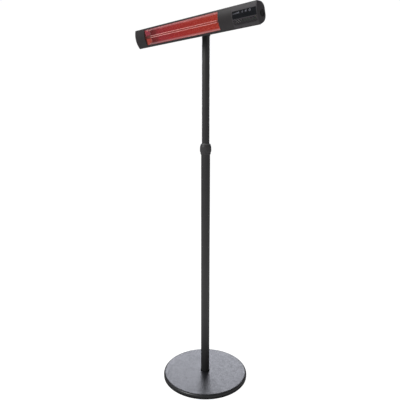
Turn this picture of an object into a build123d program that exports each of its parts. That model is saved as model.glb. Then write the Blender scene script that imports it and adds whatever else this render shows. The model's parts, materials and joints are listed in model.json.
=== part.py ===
from build123d import *
import math
import os

# Free-standing infrared patio heater on a telescopic stand.
# Millimetres. The origin is on the pole's axis at floor level, +Z is up, the head lies along X
# and faces -Y. Head pieces are drawn level, in the head's own axes, and then tilted into place:
# there X is length, Y is depth behind the front's chord and Z is height above its middle.

# Stand
BASE_R = 250.0
BASE_TOP = 26.0
BASE_EDGE_R = 13.0
COVER_BOTTOM = 9.0
COVER_SHEET = 1.5
TRAY_BOTTOM = 3.5
TRAY_R = 249.6
TRAY_WALL_R = 247.0
TRAY_WALL = 2.0
TRAY_LIP_BOTTOM = 1.5
TRAY_LIP_IN = 236.0
TRAY_OVERLAP = 3.0
FOOT_R = 14.0
FOOT_STUD_R = 4.9
FOOT_CIRCLE_R = 215.0
FOOT_COUNT = 6
WEIGHT_R = 215.0
WEIGHT_BOTTOM = 6.0
WEIGHT_TOP = 18.5
WEIGHT_HUB_R = 60.0
BOLT_POCKET_R = 16.0
BOLT_POCKET = 8.0
LOWER_TUBE_R = 25.0
UPPER_TUBE_R = 21.0
TUBE_WALL = 2.0
LOWER_TUBE_TOP = 1350.0
UPPER_TUBE_FOOT = 1150.0
BASE_BOLT_R = 6.0
BASE_WASHER_T = 2.0
BASE_BOLT_HEAD = 7.0
FOOT_PLUG = 34.0
FOOT_PLUG_THREAD = 26.0

# Twist-lock collar
COLLAR_BOTTOM = 1333.0
COLLAR_GRIP_BOTTOM = 1344.5
COLLAR_GRIP_TOP = 1386.0
COLLAR_TOP = 1394.0
COLLAR_R = 32.0
COLLAR_LOBES = 8
COLLAR_LOBE_CUT_R = 6.6
COLLET_LENGTH = 26.0

# Head section
TILT = 17.3
CHORD_Y = -119.4
CHORD_Z = 1978.7
HEAD_LENGTH = 864.0
HEAD_CHORD = 100.8
FRONT_SAGITTA = 13.5
HEAD_BACK = 49.3
BACK_FLAT = 24.0
FLANK_SLOPE = 0.25
EDGE_R = 1.2
SHELL_WALL = 2.0
COVER_WALL = 2.0
COVER_HALF = 47.7
CAP_T = 3.0
CAP_RIM_INSET = 2.6
CAP_RIM_T = 2.0
CAP_RIM_REACH = 6.0
CAP_RIM_FRONT = 16.0
GASKET_T = 0.8
BOSS_R = 4.8
CAP_SCREW_R = 2.0
CAP_SCREW_LENGTH = 24.0
CAP_SCREW_SINK = 0.3
SCREW_HEAD_R = 4.0
SCREW_HEAD_T = 2.2
SCREW_DRIVE = (0.9, 4.2)

# Lamp side
WINDOW_LEFT = -349.0
WINDOW_RIGHT = 204.0
WINDOW_LOW = -39.0
WINDOW_HIGH = 43.0
WIRE_R = 0.8
WIRE_PITCH = 7.7
WIRE_GAP = 0.2
RAIL_R = 1.0
RAIL_OVERLAP = 0.3
RAIL_INSET = 1.2
RAIL_OVERHANG = 5.0
REFLECTOR_MIDDLE_X = -72.5
REFLECTOR_MOUTH_HALF = 280.5
REFLECTOR_BACK_HALF = 270.7
REFLECTOR_LIP = 4.0
REFLECTOR_DEEP = 32.0
REFLECTOR_RIDGE = 19.0
REFLECTOR_SHEET = 0.8
REFLECTOR_BACK = 34.0
LAMP_Y = 11.0
LAMP_R = 5.25
LAMP_WALL = 1.0
LAMP_HALF = 268.5
LAMP_BASE_R = 7.0
LAMP_BASE_LENGTH = 41.0
LAMP_SEAT_DEPTH = 17.0
FILAMENT_R = 1.5
FILAMENT_TAIL_R = 0.6
FILAMENT_TAIL = 12.0
CLIP_R = 8.4
CLIP_WIDTH = 8.0
CLIP_GAP_HALF = 5.0
LEAD_R = 1.5
LEAD_HOLE_R = 3.0
LEAD_Y = 42.5
LEAD_Z = 18.0
LEAD_END_X = 384.0
LEAD_CROSSING_X = 232.0
LEAD_RELAY_Y = 25.0
RIGHT_LEAD_X = 262.0
RIGHT_LEAD_Y = 20.0
SHIELD_FRONT = 37.0
SHIELD_BACK = 44.4
SHIELD_HALF = 24.0

# Control side
FASCIA_LEFT = 288.0
DISPLAY_LEFT = 292.0
DISPLAY_LOW = -6.0
DISPLAY_HIGH = 27.0
LOUVRE_LOW = -34.0
LOUVRE_HIGH = -10.0
LOUVRE_PITCH = 14.0
LOUVRE_WIDTH = 4.4
LOUVRE_ANGLE = -43.0
BULKHEAD_X = 222.0
BULKHEAD_T = 1.5
BOARD_T = 1.6
CONTROL_BOARD_Y = -5.6
INDICATOR_X = (352.0, 371.0, 394.0)
POWER_BOARD_Y = 30.0
POWER_BOARD_LEFT = 272.0
POWER_BOARD_RIGHT = 400.0
POWER_BOARD_HALF = 24.0
STANDOFF_R = 3.0
STANDOFF_X = (280.0, 392.0)
STANDOFF_Z = 10.0
TERMINAL_LEFT = 284.0
TERMINAL_POLES = (288.5, 297.0, 305.5)
TERMINAL_Z = -16.0
TERMINAL_HALF = 8.0
SWITCH_Y = 24.5
SWITCH_Z = -5.0
SWITCH_RECESS_R = 16.0
SWITCH_RECESS_DEPTH = 5.0
SWITCH_CUP_T = 2.0
SWITCH_BARREL_R = 9.4
SWITCH_BORE_R = 9.0
SWITCH_BLOCK = 8.0
ROCKER_R = 8.0
ROCKER_FRONT = 3.2
ROCKER_DISH_R = 18.0
ROCKER_PIN_R = 1.0
ROCKER_PIVOT = 1.4
SWITCH_BEZEL_R = 11.5
SWITCH_ANGLE = 7.0
GLAND_X = 250.0
GLAND_BORE_R = 5.0
GLAND_THREAD_R = 9.9
GLAND_INNER_END = 43.5
GLAND_HEX = 24.0
GLAND_NUT_HEX = 23.0
GLAND_NECK_R = 9.0
GLAND_SEAL_R = 8.8
GLAND_FLANGE = 6.0
GLAND_NECK_END = 13.0
GLAND_SEAL_END = 19.0
GLAND_MOUTH = 22.0
CORE_R = 1.2
CORE_Y = 25.5

# Tilt joint
PIVOT_DEPTH = 73.4
PIVOT_BOLT_R = 3.95
PIVOT_BORE_R = 4.05
EAR_R = 12.0
MAST_ARM_IN = 20.0
MAST_ARM_OUT = 24.0
HEAD_EAR_IN = 26.0
HEAD_EAR_OUT = 30.0
BRACKET_SCREW_X = 20.5
BRACKET_SCREW_R = 2.5
BRACKET_PLATE = 3.0
BRACKET_HEAD_R = 4.6
BRACKET_HEAD_T = 2.8
BRACKET_DRIVE = 3.0
BRACKET_NUT_HEX = 8.0
BRACKET_NUT_FRONT = 43.3
MAST_CAP_T = 2.6
MAST_CAP_BOTTOM = 1959.0
MAST_CAP_RISE = 14.0
MAST_CAP_ROOF = 3.0
BOLT_WASHER_R = 8.0
BOLT_WASHER_T = 1.6
BOLT_HEX = 13.0
BOLT_HEAD_T = 5.4
BOLT_END = 43.0
SPACER_R = 7.0
WASHER_R = 11.0
KNOB_R = 17.0
KNOB_INSERT_R = 6.0
KNOB_GAP = 0.3
KNOB_HUB = 5.0
KNOB_DEPTH = 14.0
KNOB_LOBES = 6
KNOB_LOBE_CUT_R = 6.0
KNOB_LOBE_REACH = 3.5
KNOB_LOBE_ROUND = 1.6
KNOB_HUB_R = 9.0

# Clearances, and a length that reaches right through the head in any direction
FIT = 0.1
LOOSE_FIT = 0.2
GAP = 0.4
RUNNING_GAP = 0.05
CUT = 60.0

# Worked out from the sizes above
HEAD_HALF = HEAD_LENGTH / 2
CAP_INNER = HEAD_HALF - CAP_T
HOUSING_END = CAP_INNER - GASKET_T
CHORD_HALF = HEAD_CHORD / 2
FRONT_R = (CHORD_HALF**2 + FRONT_SAGITTA**2) / (2 * FRONT_SAGITTA)
FRONT_CENTRE = FRONT_R - FRONT_SAGITTA
SHELL_INNER_BACK = HEAD_BACK - SHELL_WALL
TILT_RAD = math.radians(TILT)
PIVOT_Y = CHORD_Y + PIVOT_DEPTH * math.cos(TILT_RAD)
PIVOT_Z = CHORD_Z + PIVOT_DEPTH * math.sin(TILT_RAD)
SLOPE_LENGTH = math.hypot(1, FLANK_SLOPE)
CORNER_R = (CHORD_HALF - BACK_FLAT / 2 - FLANK_SLOPE * HEAD_BACK) / (SLOPE_LENGTH - FLANK_SLOPE)
CORNER_Y = HEAD_BACK - CORNER_R
BOSS_REACH = CORNER_R - SHELL_WALL - BOSS_R + 0.4
BOSS_Y = CORNER_Y + BOSS_REACH * math.cos(math.radians(45))
BOSS_Z = BACK_FLAT / 2 + BOSS_REACH * math.sin(math.radians(45))
WINDOW_MIDDLE_X = (WINDOW_LEFT + WINDOW_RIGHT) / 2
LAMP_Z = (WINDOW_LOW + WINDOW_HIGH) / 2
SWITCH_FLOOR = HEAD_HALF - SWITCH_RECESS_DEPTH
LAMP_LEFT = REFLECTOR_MIDDLE_X - LAMP_HALF
LAMP_RIGHT = REFLECTOR_MIDDLE_X + LAMP_HALF

IN_HEAD = Pos(0, CHORD_Y, CHORD_Z) * Rot(TILT, 0, 0)

os.makedirs("parts", exist_ok=True)


def save(node, shape):
    export_step(shape, f"parts/{node}.step")


def save_head(node, shape):
    save(node, IN_HEAD * shape)


def group(shapes):
    return Compound(children=[solid for shape in shapes for solid in shape.solids()])


def block(x, y, z):
    """Box from three (low, high) pairs."""
    centre = Pos((x[0] + x[1]) / 2, (y[0] + y[1]) / 2, (z[0] + z[1]) / 2)
    return centre * Box(x[1] - x[0], y[1] - y[0], z[1] - z[0])


def rod_x(radius, start, end, y, z):
    return Pos((start + end) / 2, y, z) * Rot(0, 90, 0) * Cylinder(radius, end - start)


def rod_y(radius, start, end, x, z):
    return Pos(x, (start + end) / 2, z) * Rot(90, 0, 0) * Cylinder(radius, end - start)


def rod_z(radius, bottom, top, x=0.0, y=0.0):
    return Pos(x, y, (bottom + top) / 2) * Cylinder(radius, top - bottom)


def ring_z(outer, inner, bottom, top):
    return rod_z(outer, bottom, top) - rod_z(inner, bottom, top)


def turned(points):
    """Solid of revolution about Z from its (radius, height) outline."""
    return revolve(Plane.XZ * Polygon(*points, align=None), Axis.Z)


def hex_y(across_flats, start, end, x, z):
    outline = RegularPolygon(across_flats / 2, 6, major_radius=False)
    return extrude(Plane((x, start, z), x_dir=(1, 0, 0), z_dir=(0, 1, 0)) * outline, end - start)


def hex_x(across_flats, start, end, y, z):
    outline = RegularPolygon(across_flats / 2, 6, major_radius=False)
    return extrude(Plane((start, y, z), x_dir=(0, 1, 0), z_dir=(1, 0, 0)) * outline, end - start)


def span(y_low, y_high, z_low, z_high):
    """Rectangle in the head's section plane."""
    centre = Pos((y_low + y_high) / 2, (z_low + z_high) / 2)
    return centre * Rectangle(y_high - y_low, z_high - z_low)


def along_x(section, start, end):
    """Section drawn in depth and height, extruded along the head."""
    return extrude(Plane.YZ.offset(start) * section, end - start, dir=(1, 0, 0))


def through_depth(sketch, start, end):
    """Sketch in length and height, extruded along the depth."""
    return extrude(Plane.XZ.offset(-start) * sketch, end - start, dir=(0, 1, 0))


def mirror_x(shape):
    return mirror(shape, about=Plane.YZ)


def tube_along(points, radius, bend):
    """Round wire along straight runs joined by tangent arcs."""
    route = FilletPolyline(*points, radius=bend)
    start = Plane(origin=route @ 0, z_dir=route % 0)
    return sweep(start * Circle(radius), path=route)


# ---- Head sections ----

def head_section(inset=0.0):
    """D section: convex front arc, leaning flanks, round back corners and a flat back."""
    flat = BACK_FLAT / 2
    lean = math.atan2(1, FLANK_SLOPE)
    touch = (CORNER_Y + CORNER_R * math.cos(lean), flat + CORNER_R * math.sin(lean))
    bend = (CORNER_Y + CORNER_R * math.cos(lean / 2), flat + CORNER_R * math.sin(lean / 2))
    outline = [
        ThreePointArc((0, -CHORD_HALF), (-FRONT_SAGITTA, 0), (0, CHORD_HALF)),
        Line((0, CHORD_HALF), touch),
        ThreePointArc(touch, bend, (HEAD_BACK, flat)),
        Line((HEAD_BACK, flat), (HEAD_BACK, -flat)),
        ThreePointArc((HEAD_BACK, -flat), (bend[0], -bend[1]), (touch[0], -touch[1])),
        Line((touch[0], -touch[1]), (0, -CHORD_HALF)),
    ]
    face = make_face(outline)
    tips = [corner for corner in face.vertices() if abs(corner.X) < EDGE_R]
    face = fillet(tips, EDGE_R)
    if inset:
        face = offset(face, -inset)
    return face


def front_band(inset, thickness, low, high):
    """Strip of the convex front between two heights."""
    outer = Circle(FRONT_R - inset)
    inner = Circle(FRONT_R - inset - thickness)
    return (Pos(FRONT_CENTRE, 0) * (outer - inner)) & span(-20, 20, low, high)


def front_depth(z, inset=0.0):
    """Depth of the convex front, or of a surface inside it, at a height."""
    return FRONT_CENTRE - math.sqrt((FRONT_R - inset) ** 2 - z**2)


def edge_flange(sign):
    """Strip that carries the front back inside the shell, beside its flank."""
    outer = COVER_HALF
    inner = COVER_HALF - 1.5
    run = 14.0
    drop = FLANK_SLOPE * (run + 1)
    points = [(-1, outer), (run, outer - drop), (run, inner - drop), (-1, inner)]
    return make_face(Polyline(*[(y, sign * z) for y, z in points[::-sign]], close=True))


def front_section():
    band = front_band(0, COVER_WALL, -COVER_HALF, COVER_HALF)
    return band + edge_flange(1) + edge_flange(-1)


def bosses(radius, start, end):
    """Rods along both screw channels of the shell."""
    return rod_x(radius, start, end, BOSS_Y, BOSS_Z) + rod_x(radius, start, end, BOSS_Y, -BOSS_Z)


# ---- Head housing ----

def rear_shell():
    opening = COVER_HALF + 0.5
    wall = head_section() - head_section(SHELL_WALL) - span(-20, 6, -opening, opening)
    shell = along_x(wall, -HOUSING_END, HOUSING_END)
    shell += bosses(BOSS_R, -HOUSING_END, HOUSING_END) & along_x(head_section(1), -HEAD_HALF, HEAD_HALF)
    shell -= bosses(CAP_SCREW_R + FIT, -HOUSING_END, HOUSING_END)
    shell -= rod_y(GLAND_THREAD_R + 0.3, LEAD_Y, CUT, GLAND_X, 0)
    for x in (-BRACKET_SCREW_X, BRACKET_SCREW_X):
        shell -= rod_y(BRACKET_SCREW_R + LOOSE_FIT, LEAD_Y, CUT, x, 0)
    return shell


def front_cover():
    cover = along_x(front_section(), -HOUSING_END, FASCIA_LEFT - GAP)
    width = WINDOW_RIGHT - WINDOW_LEFT
    height = WINDOW_HIGH - WINDOW_LOW
    centre = Pos(WINDOW_MIDDLE_X, (WINDOW_LOW + WINDOW_HIGH) / 2)
    return cover - through_depth(centre * RectangleRounded(width, height, 2.5), -CUT, CUT)


def louvre_slots():
    """Slanted vent slots, trimmed to one rounded field."""
    left = DISPLAY_LEFT
    right = HOUSING_END - 3
    middle = (LOUVRE_LOW + LOUVRE_HIGH) / 2
    centre = Pos((left + right) / 2, middle)
    field = centre * RectangleRounded(right - left, LOUVRE_HIGH - LOUVRE_LOW, 2)
    count = round((right - left) / LOUVRE_PITCH) + 1
    slots = Sketch()
    for index in range(count):
        place = Pos(left + index * LOUVRE_PITCH, middle) * Rot(0, 0, LOUVRE_ANGLE)
        slots += place * Rectangle(CUT, LOUVRE_WIDTH)
    return slots & field


def control_fascia():
    fascia = along_x(front_section(), FASCIA_LEFT, HOUSING_END)
    fascia -= block((DISPLAY_LEFT, HOUSING_END + 1), (-CUT, 6), (DISPLAY_LOW, DISPLAY_HIGH))
    fascia -= through_depth(louvre_slots(), -CUT, 6)
    for low in (DISPLAY_LOW - 1.8, DISPLAY_HIGH + 0.2):
        front = front_depth(low, 1.0)
        fascia += block((DISPLAY_LEFT, HOUSING_END - 8), (front, -3), (low, low + 1.6))
    return fascia


def display_lens():
    inset = 0.4
    edge = 0.15
    band = front_band(inset, COVER_WALL - inset, DISPLAY_LOW + edge, DISPLAY_HIGH - edge)
    return along_x(band, DISPLAY_LEFT + edge, HOUSING_END)


def end_cap():
    """Right-hand cap with its inner rim and two countersunk screw holes."""
    cap = along_x(head_section(), CAP_INNER, HEAD_HALF)
    cap = chamfer(cap.faces().sort_by(Axis.X)[-1].edges(), 1.0)
    rim_start = HOUSING_END - CAP_RIM_REACH
    rim = head_section(CAP_RIM_INSET) - head_section(CAP_RIM_INSET + CAP_RIM_T)
    rim = along_x(rim & span(CAP_RIM_FRONT, CUT, -CUT, CUT), rim_start, CAP_INNER)
    cap += rim - bosses(BOSS_R + GAP, rim_start, CAP_INNER)
    cap -= bosses(CAP_SCREW_R + LOOSE_FIT, CAP_INNER, HEAD_HALF)
    depth = SCREW_HEAD_T + CAP_SCREW_SINK
    for z in (-BOSS_Z, BOSS_Z):
        sink = Cone(CAP_SCREW_R + LOOSE_FIT, SCREW_HEAD_R + GAP, depth)
        cap -= Pos(HEAD_HALF - depth / 2, BOSS_Y, z) * Rot(0, 90, 0) * sink
    return cap


def switch_cap():
    """Right-hand cap with a moulded cup that the switch sits in."""
    cup = rod_x(SWITCH_RECESS_R + SWITCH_CUP_T, SWITCH_FLOOR - SWITCH_CUP_T, CAP_INNER, SWITCH_Y, SWITCH_Z)
    recess = rod_x(SWITCH_RECESS_R, SWITCH_FLOOR, HEAD_HALF, SWITCH_Y, SWITCH_Z)
    hole = rod_x(SWITCH_BARREL_R + LOOSE_FIT, SWITCH_FLOOR - CUT, SWITCH_FLOOR, SWITCH_Y, SWITCH_Z)
    return end_cap() + cup - recess - hole


def end_gasket():
    ring = along_x(head_section(0.5) - head_section(2.5), HOUSING_END, CAP_INNER)
    return ring - bosses(CAP_SCREW_R + LOOSE_FIT, HOUSING_END, CAP_INNER)


def cap_screw(z):
    top = HEAD_HALF - CAP_SCREW_SINK
    head = Rot(0, 90, 0) * Cone(CAP_SCREW_R, SCREW_HEAD_R, SCREW_HEAD_T)
    middle = top - SCREW_HEAD_T / 2
    screw = Pos(middle, BOSS_Y, z) * head + rod_x(CAP_SCREW_R, top - CAP_SCREW_LENGTH, middle, BOSS_Y, z)
    for along, across in (SCREW_DRIVE, SCREW_DRIVE[::-1]):
        slot = block(
            (middle, HEAD_HALF),
            (BOSS_Y - along / 2, BOSS_Y + along / 2),
            (z - across / 2, z + across / 2),
        )
        screw -= slot
    return screw


# ---- Lamp side ----

def guard_grille():
    """Thin upright wires that follow the front's curve, welded to two rails."""
    wire_path_r = FRONT_R - COVER_WALL - WIRE_R - WIRE_GAP
    low = WINDOW_LOW + RAIL_INSET
    high = WINDOW_HIGH - RAIL_INSET
    rail_back = WIRE_R + RAIL_R - RAIL_OVERLAP
    grille = Part()
    for z in (low, high):
        depth = FRONT_CENTRE - math.sqrt(wire_path_r**2 - z**2) + rail_back
        grille += rod_x(RAIL_R, WINDOW_LEFT - RAIL_OVERHANG, WINDOW_RIGHT + RAIL_OVERHANG, depth, z)
    start = math.asin(low / wire_path_r)
    end = math.asin(high / wire_path_r)
    arc = [(FRONT_CENTRE - wire_path_r * math.cos(a), wire_path_r * math.sin(a)) for a in (start, 0, end)]
    route = Plane.YZ * ThreePointArc(*arc)
    wire = sweep(Plane(origin=route @ 0, z_dir=route % 0) * Circle(WIRE_R), path=route)
    count = int((WINDOW_RIGHT - WINDOW_LEFT) / WIRE_PITCH) + 1
    first = WINDOW_MIDDLE_X - (count - 1) * WIRE_PITCH / 2
    wires = [Pos(first + index * WIRE_PITCH, 0, 0) * wire for index in range(count)]
    return grille + wires


def reflector_profile():
    """W of two polished troughs that meet in a ridge behind the lamp."""
    lines = []
    for lip in (WINDOW_HIGH - 0.7, WINDOW_LOW + 0.5):
        deep = (lip + LAMP_Z) / 2
        points = []
        for step in range(13):
            z = lip + (LAMP_Z - lip) * step / 12
            share = (z - deep) / (lip - deep)
            rise = REFLECTOR_DEEP - (REFLECTOR_LIP if share > 0 else REFLECTOR_RIDGE)
            points.append((REFLECTOR_DEEP - rise * share**2, z))
        lines.append(Spline(*points))
        flange = 2.0 if lip > 0 else -4.0
        lines.append(Line((REFLECTOR_LIP, lip), (REFLECTOR_LIP, lip + flange)))
    return lines


def reflector():
    sheet = Sketch()
    for line in reflector_profile():
        sheet += trace(line, REFLECTOR_SHEET)
    left = REFLECTOR_MIDDLE_X - REFLECTOR_MOUTH_HALF
    right = REFLECTOR_MIDDLE_X + REFLECTOR_MOUTH_HALF
    return along_x(sheet, left, right) & between_ends(0)


def between_ends(outward):
    """Wedge between the two leaning end planes, which close in towards the back."""
    mouth = REFLECTOR_MOUTH_HALF + outward
    lean = (REFLECTOR_MOUTH_HALF - REFLECTOR_BACK_HALF) / (REFLECTOR_BACK - REFLECTOR_LIP)
    front = mouth + lean * (REFLECTOR_LIP + CUT)
    back = mouth - lean * (CUT - REFLECTOR_LIP)
    corners = [(-front, -CUT), (front, -CUT), (back, CUT), (-back, CUT)]
    return Pos(REFLECTOR_MIDDLE_X, 0, 0) * extrude(Polygon(*corners, align=None), CUT, both=True)


def reflector_end(side):
    """Leaning end plate with a hole for the lamp's ceramic base."""
    left = REFLECTOR_MIDDLE_X - REFLECTOR_MOUTH_HALF - 2
    right = REFLECTOR_MIDDLE_X + REFLECTOR_MOUTH_HALF + 2
    section = head_section(5.2) & span(REFLECTOR_LIP - 0.6, REFLECTOR_BACK + 2, -43, 44)
    plates = along_x(section, left, right) & between_ends(REFLECTOR_SHEET) - between_ends(0)
    plates -= bosses(BOSS_R + GAP, left, right)
    plates -= rod_x(LAMP_BASE_R + GAP, left, right, LAMP_Y, LAMP_Z)
    return max(plates.solids(), key=lambda plate: side * plate.center().X)


def quartz_tube():
    outer = rod_x(LAMP_R, LAMP_LEFT, LAMP_RIGHT, LAMP_Y, LAMP_Z)
    return outer - rod_x(LAMP_R - LAMP_WALL, LAMP_LEFT, LAMP_RIGHT, LAMP_Y, LAMP_Z)


def lamp_filament():
    coil = rod_x(FILAMENT_R, LAMP_LEFT + FILAMENT_TAIL, LAMP_RIGHT - FILAMENT_TAIL, LAMP_Y, LAMP_Z)
    tails = rod_x(FILAMENT_TAIL_R, LAMP_LEFT - FILAMENT_TAIL, LAMP_RIGHT + FILAMENT_TAIL, LAMP_Y, LAMP_Z)
    return coil + tails


def lamp_base(mouth, outward):
    """Ceramic end of the lamp. The tube sits in its mouth, and the lead leaves behind it."""
    back = mouth + outward * LAMP_BASE_LENGTH
    seat = mouth + outward * LAMP_SEAT_DEPTH
    base = rod_x(LAMP_BASE_R, min(mouth, back), max(mouth, back), LAMP_Y, LAMP_Z)
    base -= rod_x(LAMP_R + RUNNING_GAP, min(mouth, seat), max(mouth, seat), LAMP_Y, LAMP_Z)
    return base - rod_x(LEAD_R, min(mouth, back), max(mouth, back), LAMP_Y, LAMP_Z)


def lamp_clip(outward):
    """Open spring ring round the ceramic base, with a foot on the leaning end plate."""
    near = REFLECTOR_MIDDLE_X + outward * (REFLECTOR_MOUTH_HALF + REFLECTOR_SHEET)
    far = near + outward * CLIP_WIDTH
    low, high = min(near, far), max(near, far)
    clip = rod_x(CLIP_R, low, high, LAMP_Y, LAMP_Z)
    clip -= rod_x(LAMP_BASE_R + RUNNING_GAP, low, high, LAMP_Y, LAMP_Z)
    width = (LAMP_Z - CLIP_GAP_HALF, LAMP_Z + CLIP_GAP_HALF)
    clip -= block((low, high), (LAMP_Y - CUT, LAMP_Y - 4), width)
    inner = near - outward * CLIP_WIDTH
    reach = (min(inner, far), max(inner, far))
    foot = block(reach, (LAMP_Y + LAMP_BASE_R + 0.6, LAMP_Y + 18), width)
    return clip + (foot - between_ends(REFLECTOR_SHEET))


def lamp_leads():
    """Sleeved wires from the lamp's two ends to the terminal block."""
    left_route = [
        (LAMP_LEFT - FILAMENT_TAIL, LAMP_Y, LAMP_Z),
        (-LEAD_END_X, LAMP_Y, LAMP_Z),
        (-LEAD_END_X, LEAD_Y, LEAD_Z),
        (LEAD_CROSSING_X, LEAD_Y, LEAD_Z),
        (LEAD_CROSSING_X, LEAD_RELAY_Y, LEAD_Z),
        (TERMINAL_POLES[1], LEAD_RELAY_Y, LEAD_Z),
        (TERMINAL_POLES[1], LEAD_RELAY_Y, TERMINAL_Z + TERMINAL_HALF + FIT),
    ]
    right_route = [
        (LAMP_RIGHT + FILAMENT_TAIL, LAMP_Y, LAMP_Z),
        (RIGHT_LEAD_X, LAMP_Y, LAMP_Z),
        (RIGHT_LEAD_X, RIGHT_LEAD_Y, TERMINAL_Z),
        (TERMINAL_LEFT - FIT, RIGHT_LEAD_Y, TERMINAL_Z),
    ]
    wires = [tube_along(left_route, LEAD_R - FIT, 6), tube_along(right_route, LEAD_R - FIT, 4)]
    tail_hole = rod_x(FILAMENT_TAIL_R + RUNNING_GAP, LAMP_LEFT - 20, LAMP_RIGHT + 20, LAMP_Y, LAMP_Z)
    return group([wire - tail_hole for wire in wires])


def heat_shield():
    """Channel behind the reflector, open towards the back."""
    profile = span(SHIELD_FRONT, SHIELD_BACK, -SHIELD_HALF, SHIELD_HALF)
    inner = SHIELD_HALF - REFLECTOR_SHEET
    profile -= span(SHIELD_FRONT + REFLECTOR_SHEET, SHIELD_BACK, -inner, inner)
    left = REFLECTOR_MIDDLE_X - REFLECTOR_BACK_HALF + 3
    right = REFLECTOR_MIDDLE_X + REFLECTOR_BACK_HALF - 3
    return along_x(profile, left, right)


def bulkhead():
    """Plate between the hot side and the controls, with holes for the two leads."""
    end = BULKHEAD_X + BULKHEAD_T
    plate = along_x(head_section(5.2) & span(-5, CUT, -CUT, CUT), BULKHEAD_X, end)
    plate -= bosses(BOSS_R + GAP, BULKHEAD_X, end)
    plate -= rod_x(LEAD_HOLE_R, BULKHEAD_X, end, LAMP_Y, LAMP_Z)
    return plate - rod_x(LEAD_HOLE_R, BULKHEAD_X, end, LEAD_Y, LEAD_Z)


# ---- Control side ----

def control_board():
    depth = (CONTROL_BOARD_Y, CONTROL_BOARD_Y + BOARD_T)
    return block((DISPLAY_LEFT + 2, HOUSING_END - 3), depth, (DISPLAY_LOW, DISPLAY_HIGH))


def control_board_parts():
    """Three indicator lights, the infrared eye and the controller chip."""
    board = CONTROL_BOARD_Y
    back = board + BOARD_T
    lights = [block((x - 2.5, x + 2.5), (board - 1.4, board), (17, 22)) for x in INDICATOR_X]
    eye = rod_y(2.6, board - 2.2, board, 408, 8)
    chip = block((310, 324), (back, back + 1.8), (3, 17))
    return group([*lights, eye, chip])


def standoff_places():
    return [(x, z) for x in STANDOFF_X for z in (-STANDOFF_Z, STANDOFF_Z)]


def power_board():
    back = POWER_BOARD_Y + BOARD_T
    height = (-POWER_BOARD_HALF, POWER_BOARD_HALF)
    board = block((POWER_BOARD_LEFT, POWER_BOARD_RIGHT), (POWER_BOARD_Y, back), height)
    for x, z in standoff_places():
        board -= rod_y(STANDOFF_R / 2 + FIT, POWER_BOARD_Y, back, x, z)
    return board


def board_standoffs():
    """Posts behind the power board, each with the screw that holds the board to it."""
    back = POWER_BOARD_Y + BOARD_T
    posts = []
    for x, z in standoff_places():
        post = rod_y(STANDOFF_R, back, SHELL_INNER_BACK, x, z)
        post += rod_y(STANDOFF_R / 2, POWER_BOARD_Y - 2, back, x, z)
        posts.append(post + rod_y(STANDOFF_R - LOOSE_FIT, POWER_BOARD_Y - 2.2, POWER_BOARD_Y, x, z))
    return group(posts)


def power_board_parts():
    """Two relays, a capacitor and a varistor."""
    top = POWER_BOARD_Y
    relays = [block((x, x + 20), (top - 16, top), (-12, 12)) for x in (314, 338)]
    capacitor = rod_y(6.5, top - 18, top, 374, -12)
    varistor = block((366, 383), (top - 14, top), (6, 10))
    return group([*relays, capacitor, varistor])


def terminal_block():
    """Three-pole screw terminal. Its screws are reached from the front."""
    right = TERMINAL_POLES[2] + TERMINAL_POLES[0] - TERMINAL_LEFT
    height = (TERMINAL_Z - TERMINAL_HALF, TERMINAL_Z + TERMINAL_HALF)
    body = block((TERMINAL_LEFT, right), (16, POWER_BOARD_Y), height)
    for x in TERMINAL_POLES:
        body -= rod_y(2.4, 15, 19, x, TERMINAL_Z)
    return body


def supply_wires():
    """The cord's three cores, from the gland to the terminal block."""
    wires = []
    for start_z, end_z in ((3.4, TERMINAL_Z + 4.5), (0, TERMINAL_Z - 0.5), (-3.4, TERMINAL_Z - 5.5)):
        route = [
            (GLAND_X, GLAND_INNER_END - LOOSE_FIT, start_z),
            (GLAND_X, 38, start_z),
            (GLAND_X, CORE_Y, end_z),
            (TERMINAL_LEFT - FIT, CORE_Y, end_z),
        ]
        wires.append(tube_along(route, CORE_R, 3))
    return group(wires)


def switch_body():
    """Barrel through the cap's cup, with a round bezel and a contact block behind."""
    back = SWITCH_FLOOR - SWITCH_CUP_T
    bezel = rod_x(SWITCH_BEZEL_R, SWITCH_FLOOR, SWITCH_FLOOR + 1.8, SWITCH_Y, SWITCH_Z)
    bezel = chamfer(bezel.faces().sort_by(Axis.X)[-1].edges(), 0.6)
    body = bezel + rod_x(SWITCH_BARREL_R, back, SWITCH_FLOOR, SWITCH_Y, SWITCH_Z)
    body += block((back - SWITCH_BLOCK, back), (SWITCH_Y - 9, SWITCH_Y + 9), (SWITCH_Z - 6, SWITCH_Z + 6))
    return body - rod_x(SWITCH_BORE_R, back - 4, HEAD_HALF, SWITCH_Y, SWITCH_Z)


def switch_rocker():
    """Round rocker on two pivot pins inside its bezel, pressed to its on side."""
    pivot_x = SWITCH_FLOOR - ROCKER_PIVOT
    front = SWITCH_FLOOR + ROCKER_FRONT
    rocker = rod_x(ROCKER_R, pivot_x - LOOSE_FIT, front, SWITCH_Y, SWITCH_Z)
    rocker -= Pos(front + ROCKER_DISH_R - 1.5, SWITCH_Y, SWITCH_Z) * Cylinder(ROCKER_DISH_R, 20)
    rocker += Pos(pivot_x, SWITCH_Y, SWITCH_Z) * Cylinder(ROCKER_PIN_R, 2 * SWITCH_BORE_R - LOOSE_FIT)
    return rocker.rotate(Axis((pivot_x, SWITCH_Y, SWITCH_Z), (0, 0, 1)), SWITCH_ANGLE)


# ---- Cable inlet ----

def cable_gland():
    flange = HEAD_BACK + GLAND_FLANGE
    neck = HEAD_BACK + GLAND_NECK_END
    body = hex_y(GLAND_HEX, HEAD_BACK, flange, GLAND_X, 0)
    body += rod_y(GLAND_THREAD_R, GLAND_INNER_END, HEAD_BACK, GLAND_X, 0)
    body += rod_y(GLAND_NECK_R, flange, neck, GLAND_X, 0)
    return body - rod_y(GLAND_BORE_R, GLAND_INNER_END, neck, GLAND_X, 0)


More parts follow.
